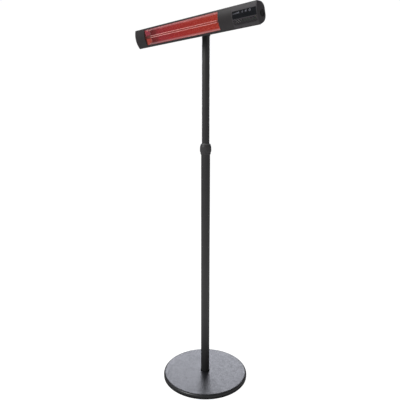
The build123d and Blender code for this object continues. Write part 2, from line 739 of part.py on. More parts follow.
def gland_seal():
    neck = HEAD_BACK + GLAND_NECK_END
    end = HEAD_BACK + GLAND_SEAL_END
    return rod_y(GLAND_SEAL_R, neck, end, GLAND_X, 0) - rod_y(GLAND_BORE_R, neck, end, GLAND_X, 0)


def gland_nut():
    """Hexagon nut with a domed mouth that squeezes the seal onto the cord."""
    seal_end = HEAD_BACK + GLAND_SEAL_END
    mouth = HEAD_BACK + GLAND_MOUTH
    start = HEAD_BACK + GLAND_FLANGE + 0.3
    shoulder = mouth - GLAND_FLANGE
    nut = hex_y(GLAND_NUT_HEX, start, shoulder, GLAND_X, 0)
    dome = Cone(GLAND_NUT_HEX / 2 - 3.3, GLAND_NUT_HEX / 2 - FIT, mouth - shoulder)
    nut += Pos(GLAND_X, (shoulder + mouth) / 2, 0) * Rot(90, 0, 0) * dome
    nut -= rod_y(GLAND_NECK_R + FIT, start, seal_end + LOOSE_FIT, GLAND_X, 0)
    return nut - rod_y(GLAND_BORE_R, seal_end, mouth, GLAND_X, 0)


def gland_lock_nut():
    nut = hex_y(GLAND_HEX, GLAND_INNER_END + FIT, SHELL_INNER_BACK, GLAND_X, 0)
    return nut - rod_y(GLAND_THREAD_R + RUNNING_GAP, GLAND_INNER_END, SHELL_INNER_BACK, GLAND_X, 0)


# ---- Tilt joint ----

def head_bracket():
    """U bracket: a plate on the head's back and two ears round the pivot."""
    plate_back = HEAD_BACK + BRACKET_PLATE
    bracket = block((-HEAD_EAR_OUT, HEAD_EAR_OUT), (HEAD_BACK, plate_back), (-EAR_R, EAR_R))
    for x in (-BRACKET_SCREW_X, BRACKET_SCREW_X):
        bracket -= rod_y(BRACKET_SCREW_R + LOOSE_FIT, HEAD_BACK, plate_back, x, 0)
    for low in (-HEAD_EAR_OUT, HEAD_EAR_IN):
        high = low + HEAD_EAR_OUT - HEAD_EAR_IN
        ear = block((low, high), (HEAD_BACK, PIVOT_DEPTH), (-EAR_R, EAR_R))
        bracket += ear + rod_x(EAR_R, low, high, PIVOT_DEPTH, 0)
    return bracket - rod_x(PIVOT_BOLT_R + RUNNING_GAP, -CUT, CUT, PIVOT_DEPTH, 0)


def bracket_screws():
    seat = HEAD_BACK + BRACKET_PLATE
    screws = []
    for x in (-BRACKET_SCREW_X, BRACKET_SCREW_X):
        head = rod_y(BRACKET_HEAD_R, seat, seat + BRACKET_HEAD_T, x, 0)
        drive = hex_y(BRACKET_DRIVE, seat + BRACKET_HEAD_T / 2, seat + BRACKET_HEAD_T, x, 0)
        screws.append(head + rod_y(BRACKET_SCREW_R, BRACKET_NUT_FRONT - 1, seat, x, 0) - drive)
    return group(screws)


def bracket_nuts():
    nuts = []
    for x in (-BRACKET_SCREW_X, BRACKET_SCREW_X):
        nut = hex_y(BRACKET_NUT_HEX, BRACKET_NUT_FRONT, SHELL_INNER_BACK, x, 0)
        nuts.append(nut - rod_y(BRACKET_SCREW_R + RUNNING_GAP, 0, SHELL_INNER_BACK, x, 0))
    return group(nuts)


def pivot_bolt():
    """Bolt with its flange washer outside the left ear and its thread in the knob."""
    under_head = -HEAD_EAR_OUT - BOLT_WASHER_T
    bolt = rod_x(PIVOT_BOLT_R, under_head, BOLT_END, PIVOT_DEPTH, 0)
    bolt += rod_x(BOLT_WASHER_R, under_head, -HEAD_EAR_OUT, PIVOT_DEPTH, 0)
    return bolt + hex_x(BOLT_HEX, under_head - BOLT_HEAD_T, under_head, PIVOT_DEPTH, 0)


def tilt_knob():
    """Six-lobed hand knob with a hub towards the bracket."""
    hub_start = HEAD_EAR_OUT + KNOB_GAP
    start = hub_start + KNOB_HUB
    outline = Circle(KNOB_R)
    reach = KNOB_R + KNOB_LOBE_REACH
    for index in range(KNOB_LOBES):
        angle = math.tau * index / KNOB_LOBES
        outline -= Pos(reach * math.cos(angle), reach * math.sin(angle)) * Circle(KNOB_LOBE_CUT_R)
    outline = fillet(outline.vertices(), KNOB_LOBE_ROUND)
    knob = along_x(Pos(PIVOT_DEPTH, 0) * outline, start, start + KNOB_DEPTH)
    knob = chamfer(knob.faces().sort_by(Axis.X)[-1].edges(), 1.2)
    knob += rod_x(KNOB_HUB_R, hub_start, start, PIVOT_DEPTH, 0)
    return knob - rod_x(KNOB_INSERT_R, hub_start, hub_start + KNOB_DEPTH, PIVOT_DEPTH, 0)


def knob_insert():
    start = HEAD_EAR_OUT + KNOB_GAP
    insert = rod_x(KNOB_INSERT_R, start, start + KNOB_DEPTH, PIVOT_DEPTH, 0)
    return insert - rod_x(PIVOT_BORE_R, start, start + KNOB_DEPTH - 1, PIVOT_DEPTH, 0)


def mast_bracket():
    """Cap over the top of the upper tube with two arms that reach forward to the pivot."""
    top = PIVOT_Z + MAST_CAP_RISE
    bracket = rod_z(UPPER_TUBE_R + MAST_CAP_T, MAST_CAP_BOTTOM, top)
    bracket = chamfer(bracket.edges().group_by(Axis.Z)[-1], 1.5)
    bore = rod_z(UPPER_TUBE_R + RUNNING_GAP, MAST_CAP_BOTTOM, top - MAST_CAP_ROOF)
    bracket -= bore
    for low in (-MAST_ARM_OUT, MAST_ARM_IN):
        high = low + MAST_ARM_OUT - MAST_ARM_IN
        arm = block((low, high), (PIVOT_Y, 0), (PIVOT_Z - EAR_R, PIVOT_Z + EAR_R))
        arm += rod_x(EAR_R, low, high, PIVOT_Y, PIVOT_Z)
        bracket += arm - bore
    return bracket - rod_x(PIVOT_BORE_R, -CUT, CUT, PIVOT_Y, PIVOT_Z)


def pivot_spacer():
    outer = rod_x(SPACER_R, -MAST_ARM_IN, MAST_ARM_IN, PIVOT_Y, PIVOT_Z)
    return outer - rod_x(PIVOT_BORE_R, -MAST_ARM_IN, MAST_ARM_IN, PIVOT_Y, PIVOT_Z)


def friction_washers():
    washers = []
    for low in (-HEAD_EAR_IN + FIT, MAST_ARM_OUT):
        high = low + HEAD_EAR_IN - MAST_ARM_OUT - FIT
        washer = rod_x(WASHER_R, low, high, PIVOT_Y, PIVOT_Z)
        washers.append(washer - rod_x(PIVOT_BORE_R, low, high, PIVOT_Y, PIVOT_Z))
    return group(washers)


# ---- Stand ----

def base_cover():
    """Pressed steel cover: flat top, rounded rim and short upright skirt."""
    outer = rod_z(BASE_R, COVER_BOTTOM, BASE_TOP)
    outer = fillet(outer.edges().group_by(Axis.Z)[-1], BASE_EDGE_R)
    inner = rod_z(BASE_R - COVER_SHEET, COVER_BOTTOM, BASE_TOP - COVER_SHEET)
    inner = fillet(inner.edges().group_by(Axis.Z)[-1], BASE_EDGE_R - COVER_SHEET)
    return outer - inner - rod_z(BASE_BOLT_R + 0.3, COVER_BOTTOM, BASE_TOP)


def base_tray():
    """Black plastic tray that closes the base from below and carries the feet."""
    profile = [
        (0, TRAY_BOTTOM),
        (TRAY_LIP_IN, TRAY_BOTTOM),
        (TRAY_LIP_IN + 2, TRAY_LIP_BOTTOM),
        (TRAY_R - 1, TRAY_LIP_BOTTOM),
        (TRAY_R, TRAY_LIP_BOTTOM + 1),
        (TRAY_R, COVER_BOTTOM - GAP),
        (TRAY_WALL_R, COVER_BOTTOM - GAP),
        (TRAY_WALL_R, COVER_BOTTOM + TRAY_OVERLAP),
        (TRAY_WALL_R - TRAY_WALL, COVER_BOTTOM + TRAY_OVERLAP),
        (TRAY_WALL_R - TRAY_WALL, WEIGHT_BOTTOM),
        (0, WEIGHT_BOTTOM),
    ]
    tray = turned(profile) - rod_z(BOLT_POCKET_R, TRAY_BOTTOM, WEIGHT_BOTTOM)
    for spot in foot_places():
        tray -= spot * rod_z(FOOT_STUD_R + FIT, TRAY_BOTTOM, WEIGHT_BOTTOM)
    return tray


def foot_places():
    return PolarLocations(FOOT_CIRCLE_R, FOOT_COUNT, start_angle=30)


def rubber_feet():
    pad = turned([(0, 0), (FOOT_R - 1, 0), (FOOT_R, 1), (FOOT_R, TRAY_BOTTOM), (0, TRAY_BOTTOM)])
    foot = pad + rod_z(FOOT_STUD_R, TRAY_BOTTOM, WEIGHT_BOTTOM)
    return group([spot * foot for spot in foot_places()])


def base_weight():
    weight = rod_z(WEIGHT_R, WEIGHT_BOTTOM, WEIGHT_TOP)
    weight += rod_z(WEIGHT_HUB_R, WEIGHT_TOP, BASE_TOP - COVER_SHEET)
    weight -= rod_z(BASE_BOLT_R + 0.3, WEIGHT_BOTTOM, BASE_TOP)
    return weight - rod_z(BOLT_POCKET_R, WEIGHT_BOTTOM, WEIGHT_BOTTOM + BOLT_POCKET)


def base_washer():
    seat = WEIGHT_BOTTOM + BOLT_POCKET
    return ring_z(BOLT_POCKET_R - 1, BASE_BOLT_R + 0.3, seat - BASE_WASHER_T, seat)


def base_bolt():
    under = WEIGHT_BOTTOM + BOLT_POCKET - BASE_WASHER_T
    outline = RegularPolygon(9.5, 6, major_radius=False)
    head = extrude(Pos(0, 0, under - BASE_BOLT_HEAD) * outline, BASE_BOLT_HEAD)
    return head + rod_z(BASE_BOLT_R, under, BASE_TOP + FOOT_PLUG_THREAD - 4)


def pole_foot_plug():
    """Solid plug in the pole's foot that the base bolt screws into."""
    plug = rod_z(LOWER_TUBE_R - TUBE_WALL, BASE_TOP, BASE_TOP + FOOT_PLUG)
    plug = chamfer(plug.edges().group_by(Axis.Z)[-1], 1.5)
    return plug - rod_z(BASE_BOLT_R + RUNNING_GAP, BASE_TOP, BASE_TOP + FOOT_PLUG_THREAD)


def foot_ring():
    inner = LOWER_TUBE_R + RUNNING_GAP
    outline = [
        (inner, BASE_TOP),
        (LOWER_TUBE_R + 2, BASE_TOP),
        (LOWER_TUBE_R + 2, BASE_TOP + 5),
        (LOWER_TUBE_R + 1, BASE_TOP + 7),
        (inner, BASE_TOP + 7),
    ]
    return turned(outline)


def lower_tube():
    return ring_z(LOWER_TUBE_R, LOWER_TUBE_R - TUBE_WALL, BASE_TOP, LOWER_TUBE_TOP)


def upper_tube():
    return ring_z(UPPER_TUBE_R, UPPER_TUBE_R - TUBE_WALL, UPPER_TUBE_FOOT, PIVOT_Z + 11.0)


def guide_sleeve():
    """Plastic sleeve that guides the upper tube's foot inside the lower tube."""
    outer = LOWER_TUBE_R - TUBE_WALL - 0.3
    return ring_z(outer, UPPER_TUBE_R + 0.08, UPPER_TUBE_FOOT + 0.3, LOWER_TUBE_TOP - 2.6)


def retaining_ring():
    top = LOWER_TUBE_TOP - GAP
    return ring_z(UPPER_TUBE_R + 1.6, UPPER_TUBE_R + RUNNING_GAP, top - 2, top)


def tube_foot_plug():
    flange = rod_z(UPPER_TUBE_R + 1.6, UPPER_TUBE_FOOT - 8, UPPER_TUBE_FOOT)
    return flange + rod_z(UPPER_TUBE_R - TUBE_WALL, UPPER_TUBE_FOOT, UPPER_TUBE_FOOT + 18)


# ---- Twist-lock collar ----

def collar_base():
    """Fixed half of the lock: skirt on the lower tube and a neck round the collet."""
    tube = LOWER_TUBE_R + RUNNING_GAP
    skirt_top = COLLAR_GRIP_BOTTOM - 0.3
    outline = [
        (tube, COLLAR_BOTTOM),
        (tube + 1.6, COLLAR_BOTTOM),
        (tube + 3.4, COLLAR_BOTTOM + 5),
        (tube + 3.4, skirt_top),
        (tube + 1.0, skirt_top),
        (tube + 1.0, LOWER_TUBE_TOP + 24),
        (UPPER_TUBE_R + 2.4, LOWER_TUBE_TOP + 24),
        (UPPER_TUBE_R + 2.4, LOWER_TUBE_TOP + 3),
        (UPPER_TUBE_R + 0.4, LOWER_TUBE_TOP + 3),
        (UPPER_TUBE_R + 0.4, LOWER_TUBE_TOP),
        (tube, LOWER_TUBE_TOP),
    ]
    return turned(outline)


def grip_collet():
    """Split ring that the collar squeezes onto the upper tube."""
    bottom = LOWER_TUBE_TOP + 3
    top = bottom + COLLET_LENGTH
    collet = ring_z(UPPER_TUBE_R + 2.2, UPPER_TUBE_R + 0.35, bottom, top)
    for angle in (0, 45, 90, 135):
        collet -= Rot(0, 0, angle) * block((-CUT, CUT), (-1, 1), (bottom + 6, top))
    return collet


def collar_nut():
    """Hand grip of the lock: a barrel with soft lobes and an inner lip at its top."""
    bottom = COLLAR_GRIP_BOTTOM
    top = COLLAR_GRIP_TOP
    outline = [
        (0, bottom),
        (COLLAR_R - 3.2, bottom),
        (COLLAR_R - 0.4, bottom + 6),
        (COLLAR_R, bottom + 12),
        (COLLAR_R - 0.6, top - 10),
        (COLLAR_R - 3.4, top),
        (0, top),
    ]
    nut = turned(outline)
    reach = COLLAR_R + 5.6
    for index in range(COLLAR_LOBES):
        angle = math.radians(360 / COLLAR_LOBES * (index + 0.5))
        place = (reach * math.cos(angle), reach * math.sin(angle))
        nut -= rod_z(COLLAR_LOBE_CUT_R, bottom + 7, top - 7, *place)
    nut -= rod_z(LOWER_TUBE_R + 1.3, bottom, top - 4)
    return nut - rod_z(UPPER_TUBE_R + 0.4, bottom, top)


def collar_ring():
    """Bright top ring that wipes the upper tube."""
    outline = [
        (UPPER_TUBE_R + 0.4, COLLAR_GRIP_TOP),
        (COLLAR_R - 4.4, COLLAR_GRIP_TOP),
        (COLLAR_R - 4.6, COLLAR_GRIP_TOP + 3.5),
        (COLLAR_R - 7.0, COLLAR_TOP),
        (UPPER_TUBE_R + 0.4, COLLAR_TOP),
    ]
    return turned(outline)


HEAD_PIECES = {
    "rear_shell": rear_shell(),
    "front_cover": front_cover(),
    "control_fascia": control_fascia(),
    "display_lens": display_lens(),
    "end_cap_left": mirror_x(end_cap()),
    "end_cap_right": switch_cap(),
    "end_gasket_left": mirror_x(end_gasket()),
    "end_gasket_right": end_gasket(),
    "guard_grille": guard_grille(),
    "reflector": reflector(),
    "reflector_end_left": reflector_end(-1),
    "reflector_end_right": reflector_end(1),
    "quartz_tube": quartz_tube(),
    "lamp_filament": lamp_filament(),
    "lamp_base_left": lamp_base(LAMP_LEFT + LAMP_SEAT_DEPTH, -1),
    "lamp_base_right": lamp_base(LAMP_RIGHT - LAMP_SEAT_DEPTH, 1),
    "lamp_clips": group([lamp_clip(-1), lamp_clip(1)]),
    "lamp_leads": lamp_leads(),
    "heat_shield": heat_shield(),
    "bulkhead": bulkhead(),
    "control_board": control_board(),
    "control_board_parts": control_board_parts(),
    "power_board": power_board(),
    "board_standoffs": board_standoffs(),
    "power_board_parts": power_board_parts(),
    "terminal_block": terminal_block(),
    "supply_wires": supply_wires(),
    "switch_body": switch_body(),
    "switch_rocker": switch_rocker(),
    "cable_gland": cable_gland(),
    "gland_seal": gland_seal(),
    "gland_nut": gland_nut(),
    "gland_lock_nut": gland_lock_nut(),
    "head_bracket": head_bracket(),
    "bracket_screws": bracket_screws(),
    "bracket_nuts": bracket_nuts(),
    "pivot_bolt": pivot_bolt(),
    "tilt_knob": tilt_knob(),
    "knob_insert": knob_insert(),
}
CAP_SCREWS = [cap_screw(BOSS_Z), cap_screw(-BOSS_Z)]
HEAD_PIECES["end_cap_screws"] = group(CAP_SCREWS + [mirror_x(screw) for screw in CAP_SCREWS])

STAND_PIECES = {
    "rubber_feet": rubber_feet(),
    "base_tray": base_tray(),
    "base_weight": base_weight(),
    "base_cover": base_cover(),
    "base_washer": base_washer(),
    "base_bolt": base_bolt(),
    "pole_foot_plug": pole_foot_plug(),
    "foot_ring": foot_ring(),
    "lower_tube": lower_tube(),
    "upper_tube": upper_tube(),
    "guide_sleeve": guide_sleeve(),
    "retaining_ring": retaining_ring(),
    "tube_foot_plug": tube_foot_plug(),
    "collar_base": collar_base(),
    "grip_collet": grip_collet(),
    "collar_nut": collar_nut(),
    "collar_ring": collar_ring(),
    "mast_bracket": mast_bracket(),
    "pivot_spacer": pivot_spacer(),
    "friction_washers": friction_washers(),
}

for name, piece in HEAD_PIECES.items():
    save_head(name, piece)
for name, piece in STAND_PIECES.items():
    save(name, piece)
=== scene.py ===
import json
import math
import bpy
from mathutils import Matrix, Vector


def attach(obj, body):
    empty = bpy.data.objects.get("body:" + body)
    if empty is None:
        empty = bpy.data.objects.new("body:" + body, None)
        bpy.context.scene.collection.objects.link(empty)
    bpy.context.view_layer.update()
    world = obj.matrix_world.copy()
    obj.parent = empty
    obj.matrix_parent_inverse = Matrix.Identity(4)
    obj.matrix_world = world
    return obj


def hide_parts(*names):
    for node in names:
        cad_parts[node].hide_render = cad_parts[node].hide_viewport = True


# Free-standing infrared patio heater. Metres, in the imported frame: the pole stands on Z, the head
# lies along X and faces -Y. Head pieces are placed in the head's own axes: x is length, y is depth
# behind the front's chord and z is height above its middle, all in millimetres.

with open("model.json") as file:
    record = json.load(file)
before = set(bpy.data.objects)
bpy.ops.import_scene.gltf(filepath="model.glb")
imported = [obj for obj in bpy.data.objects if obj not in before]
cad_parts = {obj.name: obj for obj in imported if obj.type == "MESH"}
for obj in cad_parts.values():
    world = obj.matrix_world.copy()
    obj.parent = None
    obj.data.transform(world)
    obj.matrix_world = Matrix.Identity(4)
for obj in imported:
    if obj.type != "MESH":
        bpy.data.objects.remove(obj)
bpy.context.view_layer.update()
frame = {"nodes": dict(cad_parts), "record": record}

MM = 0.001
NODES = frame["nodes"]
MOUNTS = {mount["name"]: mount for mount in frame["record"]["mounts"]}
GLAND_MOUTH_DEPTH = 71.3
DEPTH = Vector(MOUNTS["cord_inlet"]["axis"]).normalized()
HEIGHT = Vector((1, 0, 0)).cross(DEPTH)
INLET = Vector(MOUNTS["cord_inlet"]["pos_m"])
HEAD_ORIGIN = Vector((0, INLET.y, INLET.z)) - DEPTH * GLAND_MOUTH_DEPTH * MM

# Head section, as the CAD has it
CHORD_HALF = 50.4
SAGITTA = 13.5
FRONT_R = (CHORD_HALF**2 + SAGITTA**2) / (2 * SAGITTA)
FRONT_CENTRE = FRONT_R - SAGITTA
WINDOW = {"left": -349.0, "right": 204.0, "low": -39.0, "high": 43.0}
COVER_WALL = 2.0
LENS_INSET = 0.4

# Lamp and reflector
LAMP_Y = 11.0
LAMP_Z = (WINDOW["low"] + WINDOW["high"]) / 2
LAMP_MIDDLE_X = -72.5
LAMP_HALF = 268.5
REFLECTOR_MOUTH_HALF = 280.5
REFLECTOR_BACK_HALF = 270.7
REFLECTOR_LIP = 4.0
REFLECTOR_DEEP = 32.0
REFLECTOR_RIDGE = 19.0
REFLECTOR_BACK = 34.0
REFLECTOR_EDGES = (WINDOW["high"] - 0.7, WINDOW["low"] + 0.5)
REFLECTOR_LEAN = (REFLECTOR_MOUTH_HALF - REFLECTOR_BACK_HALF) / (REFLECTOR_BACK - REFLECTOR_LIP)
REFLECTOR_SHEET = 0.6
REFLECTOR_END_GAP = 0.3
RIB_PITCH = 7.7
RIB_WAVE = 0.28
RIB_FADE = 6.0
BEAD_R = 0.7
COIL_R = 1.5
COIL_WIRE_R = 0.36
COIL_PITCH = 2.4
COIL_INSET = 12.0

# Lamp guard
WIRE_R = 0.8
WIRE_PITCH = 7.7
WIRE_GAP = 0.2
WIRE_SINK = 0.3
RAIL_R = 1.0
RAIL_INSET = 1.2
RAIL_OVERRUN = 5.0
HOOK_TURN = math.radians(200)


def head_point(x, y, z):
    """Point in the row frame from head coordinates in millimetres."""
    return HEAD_ORIGIN + Vector((x * MM, 0, 0)) + DEPTH * y * MM + HEIGHT * z * MM


def front_depth(z, inset=0.0):
    return FRONT_CENTRE - math.sqrt((FRONT_R - inset) ** 2 - z**2)


# ---------------------------------------------------------------- mesh helpers

def add_mesh(name, vertices, faces, body, smooth=True):
    mesh = bpy.data.meshes.new(name)
    mesh.from_pydata(vertices, [], faces)
    mesh.validate()
    mesh.update()
    if smooth:
        mesh.polygons.foreach_set("use_smooth", [True] * len(mesh.polygons))
    piece = bpy.data.objects.new(name, mesh)
    bpy.context.scene.collection.objects.link(piece)
    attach(piece, body)
    return piece


def tube_mesh(points, radius, sides, vertices, faces):
    """Round rod along a row of points, with closed ends, added to the two lists."""
    start = len(vertices)
    side = None
    for index, point in enumerate(points):
        ahead = points[min(index + 1, len(points) - 1)] - points[max(index - 1, 0)]
        ahead.normalize()
        if side is None:
            side = ahead.orthogonal().normalized()
        else:
            side = (side - ahead * side.dot(ahead)).normalized()
        up = ahead.cross(side)
        for step in range(sides):
            angle = math.tau * step / sides
            vertices.append(point + (side * math.cos(angle) + up * math.sin(angle)) * radius)
    for ring in range(len(points) - 1):
        for step in range(sides):
            a = start + ring * sides + step
            b = start + ring * sides + (step + 1) % sides
            faces.append((a, b, b + sides, a + sides))
    faces.append(tuple(range(start + sides - 1, start - 1, -1)))
    last = start + (len(points) - 1) * sides
    faces.append(tuple(range(last, last + sides)))


# ---------------------------------------------------------------- materials

def srgb(red, green, blue):
    """Linear colour from 0-255 display values."""
    def linear(value):
        value /= 255
        return value / 12.92 if value <= 0.04045 else ((value + 0.055) / 1.055) ** 2.4
    return (linear(red), linear(green), linear(blue), 1.0)


class Shader:
    """A Principled material with helpers for its noise, mixes and bump."""

    def __init__(self, name, color, roughness=0.5, metallic=0.0):
        self.material = bpy.data.materials.new(name)
        self.material.use_nodes = True
        self.tree = self.material.node_tree
        self.nodes = self.tree.nodes
        self.links = self.tree.links
        self.bsdf = self.nodes["Principled BSDF"]
        self.bsdf.inputs["Base Color"].default_value = color
        self.bsdf.inputs["Roughness"].default_value = roughness
        self.bsdf.inputs["Metallic"].default_value = metallic
        self.coords = self.nodes.new("ShaderNodeTexCoord")

    def link(self, a, b):
        self.links.new(a, b)

    def mapped(self, scale):
        mapping = self.nodes.new("ShaderNodeMapping")
        mapping.inputs["Scale"].default_value = scale
        self.link(self.coords.outputs["Object"], mapping.inputs["Vector"])
        return mapping.outputs["Vector"]

    def noise(self, scale, detail=3.0, roughness=0.5, stretch=(1, 1, 1)):
        texture = self.nodes.new("ShaderNodeTexNoise")
        texture.inputs["Scale"].default_value = scale
        texture.inputs["Detail"].default_value = detail
        texture.inputs["Roughness"].default_value = roughness
        self.link(self.mapped(stretch), texture.inputs["Vector"])
        return texture.outputs["Fac"]

    def voronoi(self, scale, stretch=(1, 1, 1)):
        texture = self.nodes.new("ShaderNodeTexVoronoi")
        texture.inputs["Scale"].default_value = scale
        self.link(self.mapped(stretch), texture.inputs["Vector"])
        return texture.outputs["Distance"]

    def ramp(self, value, stops):
        ramp = self.nodes.new("ShaderNodeValToRGB")
        elements = ramp.color_ramp.elements
        while len(elements) < len(stops):
            elements.new(0.5)
        for element, (position, color) in zip(elements, stops):
            element.position = position
            element.color = color if len(color) == 4 else (*color, 1.0)
        self.link(value, ramp.inputs["Fac"])
        return ramp.outputs["Color"]

    def spread(self, value, low, high):
        """The noise's middle stretched to run from low to high."""
        remap = self.nodes.new("ShaderNodeMapRange")
        remap.inputs["From Min"].default_value = 0.3
        remap.inputs["From Max"].default_value = 0.7
        remap.inputs["To Min"].default_value = low
        remap.inputs["To Max"].default_value = high
        self.link(value, remap.inputs["Value"])
        return remap.outputs["Result"]

    def color_between(self, value, first, second):
        self.link(self.ramp(value, [(0.3, first), (0.7, second)]), self.bsdf.inputs["Base Color"])

    def roughness_between(self, value, low, high):
        self.link(self.spread(value, low, high), self.bsdf.inputs["Roughness"])

    def bump(self, value, distance, strength=1.0, under=None):
        bump = self.nodes.new("ShaderNodeBump")
        bump.inputs["Distance"].default_value = distance
        bump.inputs["Strength"].default_value = strength
        self.link(value, bump.inputs["Height"])
        if under is not None:
            self.link(under, bump.inputs["Normal"])
        self.link(bump.outputs["Normal"], self.bsdf.inputs["Normal"])
        return bump.outputs["Normal"]


def tint(color, factor):
    return (color[0] * factor, color[1] * factor, color[2] * factor, 1.0)


def powder_coat(name, color, roughness=0.5, specular=0.35, grain=0.00006, scale=900.0):
    """Baked paint: fine orange peel, faint cloudiness in colour and gloss."""
    shader = Shader(name, color, roughness)
    shader.bsdf.inputs["Specular IOR Level"].default_value = specular
    cloud = shader.noise(9.0, 4.0)
    shader.color_between(cloud, tint(color, 0.9), tint(color, 1.12))
    shader.roughness_between(shader.noise(60.0, 3.0), roughness - 0.04, roughness + 0.05)
    peel = shader.bump(shader.noise(scale, 2.0), grain)
    shader.bump(shader.noise(scale / 6, 2.0), grain * 2.5, 0.5, peel)
    return shader


def moulded_plastic(name, color, roughness=0.55, scale=1500.0, specular=0.35):
    """Injection-moulded plastic with a fine spark-eroded grain."""
    shader = Shader(name, color, roughness)
    shader.bsdf.inputs["Specular IOR Level"].default_value = specular
    shader.color_between(shader.noise(35.0, 3.0), tint(color, 0.92), tint(color, 1.1))
    shader.roughness_between(shader.noise(120.0), roughness - 0.05, roughness + 0.06)
    shader.bump(shader.voronoi(scale), 0.00004, 0.8)
    return shader


def bare_metal(name, color, roughness=0.35, stretch=(40, 40, 1.0), grain=0.00002):
    """Drawn or rolled metal with fine directional streaks."""
    shader = Shader(name, color, roughness, 1.0)
    streak = shader.noise(60.0, 4.0, 0.6, stretch)
    shader.color_between(streak, tint(color, 0.88), tint(color, 1.08))
    shader.roughness_between(streak, roughness - 0.08, roughness + 0.1)
    shader.bump(streak, grain)
    return shader


def rubber(name, color):
    shader = Shader(name, color, 0.8)
    shader.color_between(shader.noise(200.0, 4.0), tint(color, 0.8), tint(color, 1.3))
    shader.bump(shader.noise(900.0, 3.0), 0.00005)
    return shader


HOUSING = (0.0150, 0.0120, 0.0130, 1)
POLE = (0.020, 0.0195, 0.0205, 1)
BASE = (0.0190, 0.0195, 0.0225, 1)
# Painted lamp glow colours along the window, and a paler painted highlight for the reflector's lips
GLOW_LEFT = srgb(150, 40, 54)
GLOW_MIDDLE = srgb(166, 38, 38)
GLOW_RIGHT = srgb(178, 58, 40)
GLOW_LIP = (0.62, 0.46, 0.49, 1)
WINDOW_HALF = (WINDOW["high"] - WINDOW["low"]) / 2

# The Mix node's colour sockets share their names with its number sockets, so they go by place
MIX_COLOR_A = 6
MIX_COLOR_B = 7
MIX_COLOR_RESULT = 2


def glow_along(shader):
    """Painted lamp glow colour along X: dim beside the lamp's left end, magenta, red, then orange on
    the right.
    """
    split = shader.nodes.new("ShaderNodeSeparateXYZ")
    shader.link(shader.coords.outputs["Object"], split.inputs["Vector"])
    remap = shader.nodes.new("ShaderNodeMapRange")
    remap.inputs["From Min"].default_value = WINDOW["left"] * MM
    remap.inputs["From Max"].default_value = WINDOW["right"] * MM
    shader.link(split.outputs["X"], remap.inputs["Value"])
    dim = tint(GLOW_LEFT, 0.15)
    stops = [(0.0, dim), (0.085, dim), (0.13, GLOW_LEFT), (0.45, GLOW_MIDDLE), (1.0, GLOW_RIGHT)]
    return shader.ramp(remap.outputs["Result"], stops)


def window_height(shader):
    """Height above the lamp, from -1 at the window's lower edge to 1 at its upper edge."""
    dot = shader.nodes.new("ShaderNodeVectorMath")
    dot.operation = "DOT_PRODUCT"
    dot.inputs[1].default_value = HEIGHT
    shader.link(shader.coords.outputs["Object"], dot.inputs[0])
    middle = HEAD_ORIGIN.dot(HEIGHT) + LAMP_Z * MM
    remap = shader.nodes.new("ShaderNodeMapRange")
    remap.inputs["From Min"].default_value = middle - WINDOW_HALF * MM
    remap.inputs["From Max"].default_value = middle + WINDOW_HALF * MM
    remap.inputs["To Min"].default_value = -1.0
    remap.inputs["To Max"].default_value = 1.0
    shader.link(dot.outputs["Value"], remap.inputs["Value"])
    return remap.outputs["Result"]


def edge_share(shader, start, share):
    """From 0 inside the start height to the share at the window's upper and lower edges."""
    size = shader.nodes.new("ShaderNodeMath")
    size.operation = "ABSOLUTE"
    shader.link(window_height(shader), size.inputs[0])
    remap = shader.nodes.new("ShaderNodeMapRange")
    remap.interpolation_type = "SMOOTHSTEP"
    remap.inputs["From Min"].default_value = start
    remap.inputs["From Max"].default_value = 1.0
    remap.inputs["To Max"].default_value = share
    shader.link(size.outputs["Value"], remap.inputs["Value"])
    return remap.outputs["Result"]


def reflector_metal():
    """Embossed aluminium, its base colour tinted red by painted lamp glow, with that glow painted on as
    emission and a paler painted highlight at its lips.
    """
    shader = Shader("reflector_metal", (0.11, 0.018, 0.018, 1), 0.28, 1.0)
    shader.bump(shader.voronoi(420.0), 0.00006, 0.6)
    shader.roughness_between(shader.noise(300.0), 0.24, 0.38)
    mix = shader.nodes.new("ShaderNodeMix")
    mix.data_type = "RGBA"
    shader.link(edge_share(shader, 0.7, 1.0), mix.inputs["Factor"])
    shader.link(glow_along(shader), mix.inputs[MIX_COLOR_A])
    mix.inputs[MIX_COLOR_B].default_value = GLOW_LIP
    shader.link(mix.outputs[MIX_COLOR_RESULT], shader.bsdf.inputs["Emission Color"])
    shader.bsdf.inputs["Emission Strength"].default_value = 0.55
    return shader


def reflector_end_metal():
    """End plate, its base colour tinted red by painted lamp glow, with painted glow as emission: orange
    below the lamp, magenta above, dark at the lamp's height.
    """
    shader = Shader("reflector_end_metal", (0.2, 0.05, 0.05, 1), 0.3, 1.0)
    shader.bump(shader.voronoi(420.0), 0.00005, 0.5)
    shader.roughness_between(shader.noise(300.0), 0.24, 0.38)
    remap = shader.nodes.new("ShaderNodeMapRange")
    remap.inputs["From Min"].default_value = -1.0
    shader.link(window_height(shader), remap.inputs["Value"])
    low, gap, high = srgb(184, 78, 66), srgb(70, 24, 25), srgb(158, 70, 90)
    stops = [(0.0, low), (0.38, low), (0.48, gap), (0.56, gap), (0.66, high), (1.0, srgb(150, 50, 72))]
    shader.link(shader.ramp(remap.outputs["Result"], stops), shader.bsdf.inputs["Emission Color"])
    shader.bsdf.inputs["Emission Strength"].default_value = 0.7
    return shader


def glowing_coil():
    shader = Shader("filament_glow", (0.3, 0.1, 0.07, 1), 0.5)
    heat = shader.noise(40.0, 2.0)
    hot = shader.ramp(heat, [(0.3, (1.0, 0.16, 0.09)), (0.7, (1.0, 0.26, 0.15))])
    shader.link(hot, shader.bsdf.inputs["Emission Color"])
    shader.bsdf.inputs["Emission Strength"].default_value = 0.14
    return shader


